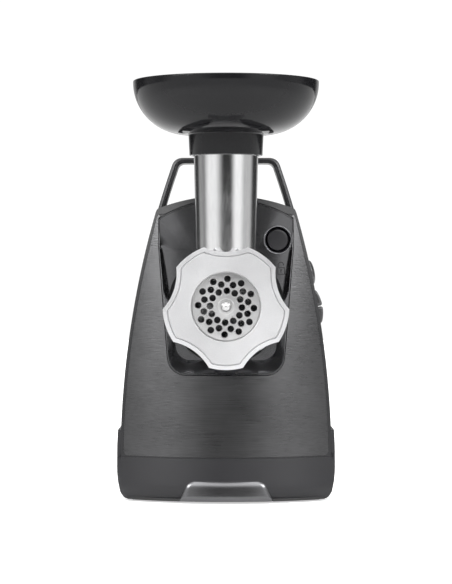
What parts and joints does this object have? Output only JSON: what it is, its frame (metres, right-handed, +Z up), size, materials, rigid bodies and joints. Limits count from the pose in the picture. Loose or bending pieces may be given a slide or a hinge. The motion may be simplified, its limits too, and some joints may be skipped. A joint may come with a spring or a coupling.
{
  "type": "electric meat grinder",
  "caption": "Upright electric meat grinder: tapered bowed body with a carrying handle, front grinding head with lobed ring nut, polished feed tube and round hopper tray.",
  "frame": {"origin": "on the table, under the middle of the whole machine's box", "axes": "+Z up, -Y out of the front along the auger towards the ring nut, +X to the right seen from the front"},
  "size_m": [0.185, 0.3192, 0.3506],
  "materials": {
    "panel": "horizontally brushed, dark anthracite",
    "shell": "satin moulded",
    "fascia": "satin moulded",
    "base": "satin moulded",
    "black_gloss": "high gloss",
    "button": "silver lacquer",
    "handle": "satin moulded",
    "silver_trim": "satin silver lacquer",
    "polished": "polished stainless steel",
    "cast_aluminium": "fine blasted, machined edges",
    "steel": "ground",
    "black_plastic": "fine texture",
    "white_plastic": "moulded nylon",
    "bronze": "sintered",
    "copper": "enamelled winding wire",
    "iron": "stacked laminations",
    "diecast": "as cast",
    "rubber": "matt",
    "board": "solder resist",
    "carbon": "graphite"
  },
  "bodies": {
    "housing": {"base_tray": "base", "bottom_plate": "black_plastic", "rubber_feet": "rubber", "base_screws": "steel", "front_insert": "silver_trim", "front_cover": "shell", "front_panel": "panel", "head_fascia": "fascia", "rear_housing": "shell", "vent_grille": "black_plastic", "cord_gland": "rubber", "carry_handle": "handle", "lock_bezel": "black_gloss", "button_housing": "black_plastic", "control_board": "board", "button_springs": "steel", "head_socket": "black_plastic", "socket_screws": "steel", "gearbox_cover": "diecast", "gearbox_case": "diecast", "gearbox_screws": "steel", "output_bushes": "bronze", "idler_pins": "steel", "latch_bracket": "steel", "latch_spring": "steel", "motor_front_bracket": "diecast", "motor_rear_bracket": "diecast", "motor_stator": "iron", "field_coils": "copper", "brush_holders": "bronze", "carbon_brushes": "carbon", "motor_bolts": "steel", "motor_cradle": "black_plastic", "motor_bearings": "steel"},
    "head": {"grinder_barrel": "cast_aluminium", "barrel_bush": "bronze", "plate_key": "steel", "feed_tube": "polished"},
    "plate": {"grinding_plate": "steel"},
    "nut": {"ring_nut": "cast_aluminium"},
    "auger": {"auger_screw": "cast_aluminium", "auger_spindle": "steel", "cutting_knife": "steel", "drive_coupling": "white_plastic"},
    "output": {"output_coupling": "black_plastic", "output_shaft": "steel", "output_gear": "white_plastic"},
    "second_gear": {"second_idler": "white_plastic"},
    "first_gear": {"first_idler": "white_plastic"},
    "rotor": {"rotor_shaft": "steel", "armature": "copper", "commutator": "bronze", "cooling_fan": "white_plastic"},
    "tray": {"hopper_tray": "black_gloss"},
    "lock": {"lock_button": "black_gloss", "latch_slider": "steel"},
    "power": {"power_button": "button"},
    "speed": {"speed_button": "button"},
    "reverse": {"reverse_button": "button"}
  },
  "joints": [
    {"name": "head_twist", "type": "hinge", "parent": "housing", "child": "head", "pos_m": [0, -0.012, 0.165], "axis": [0, -1, 0], "range_deg": [0, 40]},
    {"name": "plate_slide", "type": "slide", "parent": "head", "child": "plate", "axis": [0, -1, 0], "range_m": [0, 0.012]},
    {"name": "nut_turn", "type": "hinge", "parent": "plate", "child": "nut", "pos_m": [0, -0.125, 0.165], "axis": [0, -1, 0], "range_deg": [0, 1440]},
    {"name": "output_spin", "type": "hinge", "parent": "housing", "child": "output", "pos_m": [0, 0.0045, 0.165], "axis": [0, -1, 0], "continuous": true},
    {"name": "auger_spin", "type": "hinge", "parent": "housing", "child": "auger", "pos_m": [0, -0.04, 0.165], "axis": [0, -1, 0], "continuous": true},
    {"name": "second_spin", "type": "hinge", "parent": "housing", "child": "second_gear", "pos_m": [-0.022, 0.0145, 0.12574], "axis": [0, -1, 0], "continuous": true},
    {"name": "first_spin", "type": "hinge", "parent": "housing", "child": "first_gear", "pos_m": [0.008, 0.0235, 0.10772], "axis": [0, -1, 0], "continuous": true},
    {"name": "rotor_spin", "type": "hinge", "parent": "housing", "child": "rotor", "pos_m": [0, 0.081, 0.07509], "axis": [0, -1, 0], "continuous": true},
    {"name": "tray_lift", "type": "slide", "parent": "head", "child": "tray", "axis": [0, 0, 1], "range_m": [0, 0.03]},
    {"name": "lock_press", "type": "slide", "parent": "housing", "child": "lock", "axis": [-0.1467, 0.9892, 0], "range_m": [0, 0.004], "stiffness_N_per_m": 500, "springref_m": -0.0015, "deforming": ["latch_spring"]},
    {"name": "power_press", "type": "slide", "parent": "housing", "child": "power", "axis": [-0.9824, 0, -0.1868], "range_m": [0, 0.002], "stiffness_N_per_m": 600, "springref_m": -0.001, "deforming": ["button_springs"]},
    {"name": "speed_press", "type": "slide", "parent": "housing", "child": "speed", "axis": [-0.9824, 0, -0.1868], "range_m": [0, 0.002], "stiffness_N_per_m": 600, "springref_m": -0.001, "deforming": ["button_springs"]},
    {"name": "reverse_press", "type": "slide", "parent": "housing", "child": "reverse", "axis": [-0.9824, 0, -0.1868], "range_m": [0, 0.002], "stiffness_N_per_m": 600, "springref_m": -0.001, "deforming": ["button_springs"]}
  ],
  "couplings": [
    {"joint": "plate_slide", "follows": "nut_turn", "m_per_rad": 0.00047746},
    {"joint": "auger_spin", "follows": "output_spin", "ratio": 1},
    {"joint": "second_spin", "follows": "output_spin", "ratio": -3},
    {"joint": "first_spin", "follows": "output_spin", "ratio": 12},
    {"joint": "rotor_spin", "follows": "output_spin", "ratio": -72}
  ]
}
